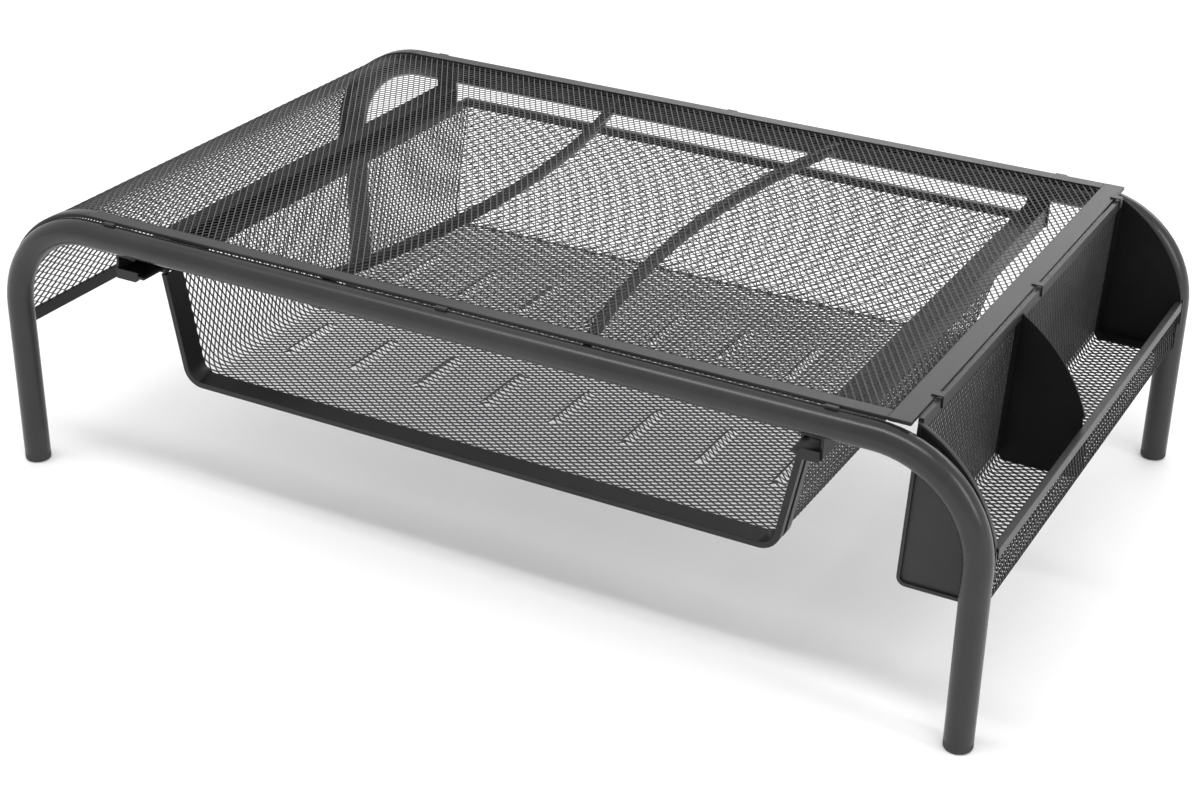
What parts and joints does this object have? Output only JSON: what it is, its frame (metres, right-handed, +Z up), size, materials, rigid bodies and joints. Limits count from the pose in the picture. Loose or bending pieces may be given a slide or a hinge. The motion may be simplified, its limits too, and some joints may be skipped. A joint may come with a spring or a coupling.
{
  "type": "monitor stand",
  "caption": "Mesh-topped monitor stand on bent tube legs, with a slide-out mesh drawer under the deck and an open pocket tray at its right-hand end.",
  "frame": {"origin": "on the floor, under the middle of the bounding box", "axes": "+X towards the pocket tray end, -Y the way the drawer opens, +Z up"},
  "size_m": [0.5024, 0.2996, 0.1408],
  "materials": {
    "tube_steel": "satin charcoal powder coat with a fine texture",
    "mesh_steel": "satin charcoal powder coat on expanded metal",
    "strip_steel": "satin charcoal powder coat on folded strip",
    "plate_steel": "matt black powder coat on sheet",
    "foot_plastic": "moulded dark grey plastic"
  },
  "bodies": {
    "stand": {"deck_front_strip": "strip_steel", "deck_mesh": "mesh_steel", "deck_rear_strip": "strip_steel", "deck_right_strip": "strip_steel", "foot_cap_front_left": "foot_plastic", "foot_cap_front_right": "foot_plastic", "foot_cap_rear_left": "foot_plastic", "foot_cap_rear_right": "foot_plastic", "front_tube_frame": "tube_steel", "front_weld_tabs": "strip_steel", "left_brace": "strip_steel", "left_rail": "strip_steel", "left_rail_bracket": "strip_steel", "left_rail_stop": "strip_steel", "pocket_back_strip": "strip_steel", "pocket_divider": "plate_steel", "pocket_front_plate": "plate_steel", "pocket_hooks": "strip_steel", "pocket_leg_clips": "strip_steel", "pocket_lip_strip": "strip_steel", "pocket_rear_plate": "plate_steel", "pocket_tray_mesh": "mesh_steel", "rear_tube_frame": "tube_steel", "rear_weld_tabs": "strip_steel", "right_brace": "strip_steel", "right_rail": "strip_steel", "right_rail_bracket": "strip_steel", "right_rail_stop": "strip_steel", "skirt_hem_strip": "strip_steel"},
    "drawer": {"drawer_basket": "mesh_steel", "drawer_front_frame": "strip_steel", "drawer_left_runner": "strip_steel", "drawer_rear_rim": "strip_steel", "drawer_right_runner": "strip_steel"}
  },
  "joints": [
    {"name": "drawer_slide", "type": "slide", "parent": "stand", "child": "drawer", "axis": [0, -1, 0], "range_m": [0, 0.2]}
  ]
}
